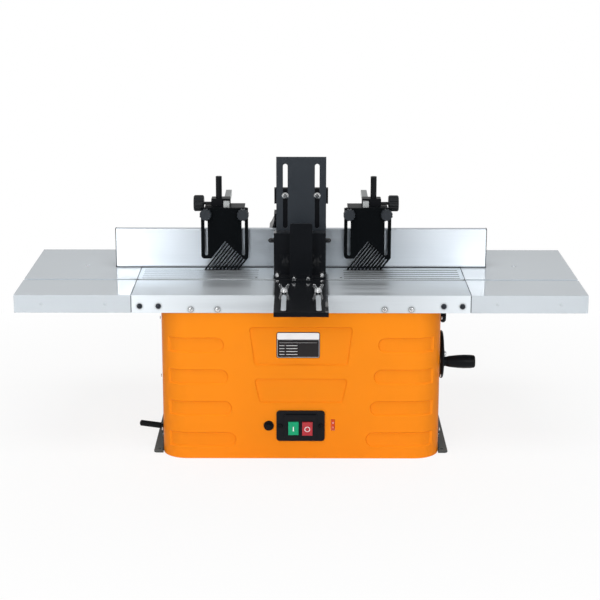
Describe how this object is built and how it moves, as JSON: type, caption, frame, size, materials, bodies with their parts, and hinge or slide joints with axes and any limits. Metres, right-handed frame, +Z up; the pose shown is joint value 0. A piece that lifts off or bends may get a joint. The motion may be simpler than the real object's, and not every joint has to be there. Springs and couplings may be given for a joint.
{
  "type": "spindle moulder",
  "caption": "Benchtop spindle moulder: orange pressed housing, winged table, split fence, pressure combs, sliding front guard, side crank for spindle height and front switch.",
  "frame": {"origin": "on the bench, in the middle of the rectangle of bench bolt holes", "axes": "+X along the table to the crank side, +Y away from the operator, +Z up"},
  "size_m": [1.01, 0.5015, 0.524],
  "materials": {
    "orange_paint": "glossy powder coat",
    "wing_paint": "glossy light grey coat",
    "brushed_table": "fine brushed",
    "fence_aluminium": "bright brushed extrusion",
    "black_steel": "glossy black coat",
    "black_plastic": "moulded gloss",
    "black_rubber": "satin",
    "rail_paint": "dark grey coat",
    "zinc": "zinc plated",
    "ground_steel": "ground and oiled",
    "cast_alloy": "as cast",
    "motor_paint": "satin black coat",
    "fan_plastic": "moulded",
    "grey_steel": "mill finish",
    "green_plastic": "moulded gloss",
    "red_plastic": "moulded gloss",
    "dial_plastic": "moulded"
  },
  "bodies": {
    "base": {"housing": "orange_paint", "table_centre": "brushed_table", "table_wing_left": "wing_paint", "table_wing_right": "wing_paint", "table_insert": "brushed_table", "pan_head_screws": "zinc", "foot_rails": "rail_paint", "switch_housing": "black_plastic", "reset_collar": "black_plastic", "speed_control": "fan_plastic", "guide_columns": "ground_steel", "column_tie_plate": "cast_alloy", "lift_bracket": "cast_alloy", "cable_gland": "black_plastic", "guard_wing_screws": "zinc", "fence_lock_knobs": "black_plastic"},
    "start_button": {"start_button": "green_plastic"},
    "stop_button": {"stop_button": "red_plastic"},
    "reset_button": {"reset_button": "black_plastic"},
    "speed_wheel": {"speed_wheel": "dial_plastic"},
    "height_lock_knob": {"height_lock_knob": "black_plastic"},
    "spindle_lock_lever": {"spindle_lock_lever": "black_rubber"},
    "carriage": {"motor_carriage": "cast_alloy", "motor_housing": "motor_paint", "motor_bearings": "ground_steel"},
    "spindle": {"spindle": "ground_steel", "cooling_fan": "fan_plastic", "collet": "ground_steel", "collet_nut": "ground_steel"},
    "lead_screw": {"lead_screw": "ground_steel", "driven_bevel_gear": "ground_steel"},
    "crank": {"crank_shaft": "ground_steel", "driver_bevel_gear": "ground_steel", "hand_wheel": "black_plastic", "hub_screw": "zinc", "handle_pin": "zinc"},
    "handle_grip": {"handle_grip": "black_plastic"},
    "fence": {"fence_hood": "black_plastic"},
    "guard": {"guard_base": "black_steel", "guard_mast": "black_steel", "guard_box": "black_plastic", "guard_bolts": "zinc"},
    "guard_slider": {"guard_slider": "black_plastic", "slider_bolts": "zinc"},
    "fence_left": {"fence_plate_left": "fence_aluminium", "comb_post_left": "black_steel"},
    "comb_clamp_left": {"comb_clamp_left": "black_plastic"},
    "comb_clamp_knob_left": {"comb_clamp_knob_left": "black_plastic"},
    "comb_arm_left": {"comb_bar_left": "grey_steel", "comb_holder_left": "black_steel", "comb_knobs_left": "black_plastic"},
    "comb_left": {"comb_left": "black_plastic"},
    "fence_right": {"fence_plate_right": "fence_aluminium", "comb_post_right": "black_steel"},
    "comb_clamp_right": {"comb_clamp_right": "black_plastic"},
    "comb_clamp_knob_right": {"comb_clamp_knob_right": "black_plastic"},
    "comb_arm_right": {"comb_bar_right": "grey_steel", "comb_holder_right": "black_steel", "comb_knobs_right": "black_plastic"},
    "comb_right": {"comb_right": "black_plastic"}
  },
  "joints": [
    {"name": "start_press", "type": "slide", "parent": "base", "child": "start_button", "axis": [0, 1, 0], "range_m": [0, 0.003], "stiffness_N_per_m": 400},
    {"name": "stop_press", "type": "slide", "parent": "base", "child": "stop_button", "axis": [0, 1, 0], "range_m": [0, 0.003], "stiffness_N_per_m": 400},
    {"name": "reset_press", "type": "slide", "parent": "base", "child": "reset_button", "axis": [0, 1, 0], "range_m": [0, 0.0025], "stiffness_N_per_m": 400},
    {"name": "speed_turn", "type": "hinge", "parent": "base", "child": "speed_wheel", "pos_m": [0.0575, -0.1655, 0.0635], "axis": [1, 0, 0], "range_deg": [0, 270]},
    {"name": "height_lock_turn", "type": "hinge", "parent": "base", "child": "height_lock_knob", "pos_m": [0.258, 0.038, 0.21], "axis": [1, 0, 0], "range_deg": [0, 270]},
    {"name": "spindle_lock_swing", "type": "hinge", "parent": "base", "child": "spindle_lock_lever", "pos_m": [-0.232, -0.1352, 0.045], "axis": [0, 0, 1], "range_deg": [0, 10], "stiffness_Nm_per_rad": 2},
    {"name": "crank_turn", "type": "hinge", "parent": "base", "child": "crank", "pos_m": [0.25, -0.076, 0.1665], "axis": [1, 0, 0], "range_deg": [-1800, 1800]},
    {"name": "carriage_lift", "type": "slide", "parent": "base", "child": "carriage", "axis": [0, 0, 1], "range_m": [-0.02, 0.02]},
    {"name": "lead_screw_turn", "type": "hinge", "parent": "base", "child": "lead_screw", "pos_m": [0, -0.076, 0.2], "axis": [0, 0, 1], "range_deg": [-1800, 1800]},
    {"name": "spindle_spin", "type": "hinge", "parent": "carriage", "child": "spindle", "pos_m": [0, 0.038, 0.25], "axis": [0, 0, 1], "continuous": true},
    {"name": "handle_spin", "type": "hinge", "parent": "crank", "child": "handle_grip", "pos_m": [0.29, -0.107, 0.1617], "axis": [1, 0, 0], "continuous": true},
    {"name": "fence_set", "type": "slide", "parent": "base", "child": "fence", "axis": [0, 1, 0], "range_m": [0, 0.03]},
    {"name": "guard_set", "type": "slide", "parent": "base", "child": "guard", "axis": [0, 1, 0], "range_m": [0, 0.02]},
    {"name": "guard_slider_lift", "type": "slide", "parent": "guard", "child": "guard_slider", "axis": [0, 0, 1], "range_m": [-0.055, 0.052]},
    {"name": "fence_plate_set_left", "type": "slide", "parent": "fence", "child": "fence_left", "axis": [1, 0, 0], "range_m": [-0.02, 0.008]},
    {"name": "clamp_lift_left", "type": "slide", "parent": "fence_left", "child": "comb_clamp_left", "axis": [0, 0, 1], "range_m": [0, 0.035]},
    {"name": "clamp_knob_turn_left", "type": "hinge", "parent": "comb_clamp_left", "child": "comb_clamp_knob_left", "pos_m": [-0.1819, 0.0367, 0.4256], "axis": [1, 0, 0], "range_deg": [0, 360]},
    {"name": "arm_reach_left", "type": "slide", "parent": "comb_clamp_left", "child": "comb_arm_left", "axis": [0, 1, 0], "range_m": [-0.07, 0]},
    {"name": "comb_lift_left", "type": "slide", "parent": "comb_arm_left", "child": "comb_left", "axis": [0, 0, 1], "range_m": [0, 0.075]},
    {"name": "fence_plate_set_right", "type": "slide", "parent": "fence", "child": "fence_right", "axis": [1, 0, 0], "range_m": [-0.008, 0.02]},
    {"name": "clamp_lift_right", "type": "slide", "parent": "fence_right", "child": "comb_clamp_right", "axis": [0, 0, 1], "range_m": [0, 0.035]},
    {"name": "clamp_knob_turn_right", "type": "hinge", "parent": "comb_clamp_right", "child": "comb_clamp_knob_right", "pos_m": [0.1633, 0.0367, 0.4256], "axis": [1, 0, 0], "range_deg": [0, 360]},
    {"name": "arm_reach_right", "type": "slide", "parent": "comb_clamp_right", "child": "comb_arm_right", "axis": [0, 1, 0], "range_m": [-0.07, 0]},
    {"name": "comb_lift_right", "type": "slide", "parent": "comb_arm_right", "child": "comb_right", "axis": [0, 0, 1], "range_m": [0, 0.075]}
  ],
  "couplings": [
    {"joint": "crank_turn", "follows": "carriage_lift", "rad_per_m": -1570.8},
    {"joint": "lead_screw_turn", "follows": "carriage_lift", "rad_per_m": -1570.8}
  ]
}
